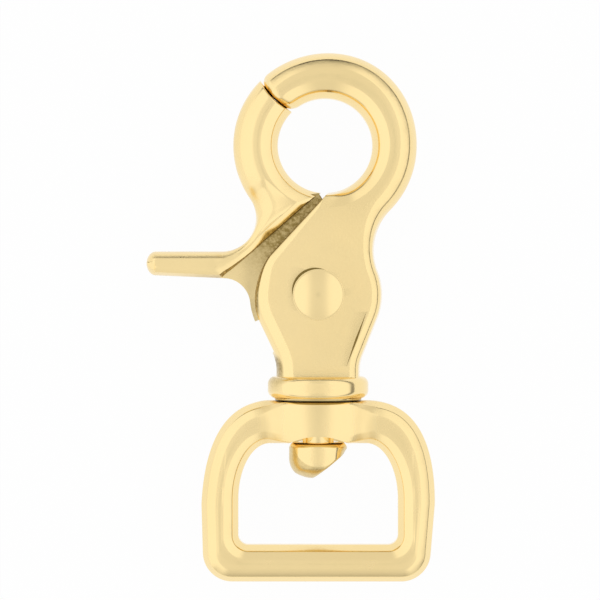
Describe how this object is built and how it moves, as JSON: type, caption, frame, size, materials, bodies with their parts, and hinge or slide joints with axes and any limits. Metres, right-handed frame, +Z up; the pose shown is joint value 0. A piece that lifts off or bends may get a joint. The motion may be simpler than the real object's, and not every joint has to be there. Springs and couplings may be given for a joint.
{
  "type": "square scissor snap",
  "caption": "Cast brass scissor snap: a round hook eye shut by a sprung, riveted trigger with a finger piece, and a square strap loop on a swivel post.",
  "frame": {"origin": "centre of the hook's eye, half way through the snap's thickness", "axes": "+X across the snap, away from the finger piece; +Y along the snap, from the strap loop to the eye; +Z up through its thickness, along the rivet, as it lies on its back"},
  "size_m": [0.046, 0.0843, 0.016],
  "materials": {
    "hook_brass": "polished cast brass",
    "trigger_brass": "polished cast brass",
    "loop_brass": "polished cast brass",
    "rivet_brass": "polished",
    "spring_wire": "bright drawn wire"
  },
  "bodies": {
    "body": {"hook_body": "hook_brass", "pivot_rivet": "rivet_brass", "torsion_spring": "spring_wire"},
    "trigger": {"trigger_jaw": "trigger_brass"},
    "loop": {"swivel_loop": "loop_brass"}
  },
  "joints": [
    {"name": "trigger_pivot", "type": "hinge", "parent": "body", "child": "trigger", "pos_m": [-0.0011, -0.0238, 0], "axis": [0, 0, 1], "range_deg": [0, 28], "stiffness_Nm_per_rad": 0.08, "springref_deg": -45.84, "deforming": ["torsion_spring"]},
    {"name": "loop_swivel", "type": "hinge", "parent": "body", "child": "loop", "pos_m": [-0.0011, -0.042, 0], "axis": [0, 1, 0], "continuous": true}
  ]
}
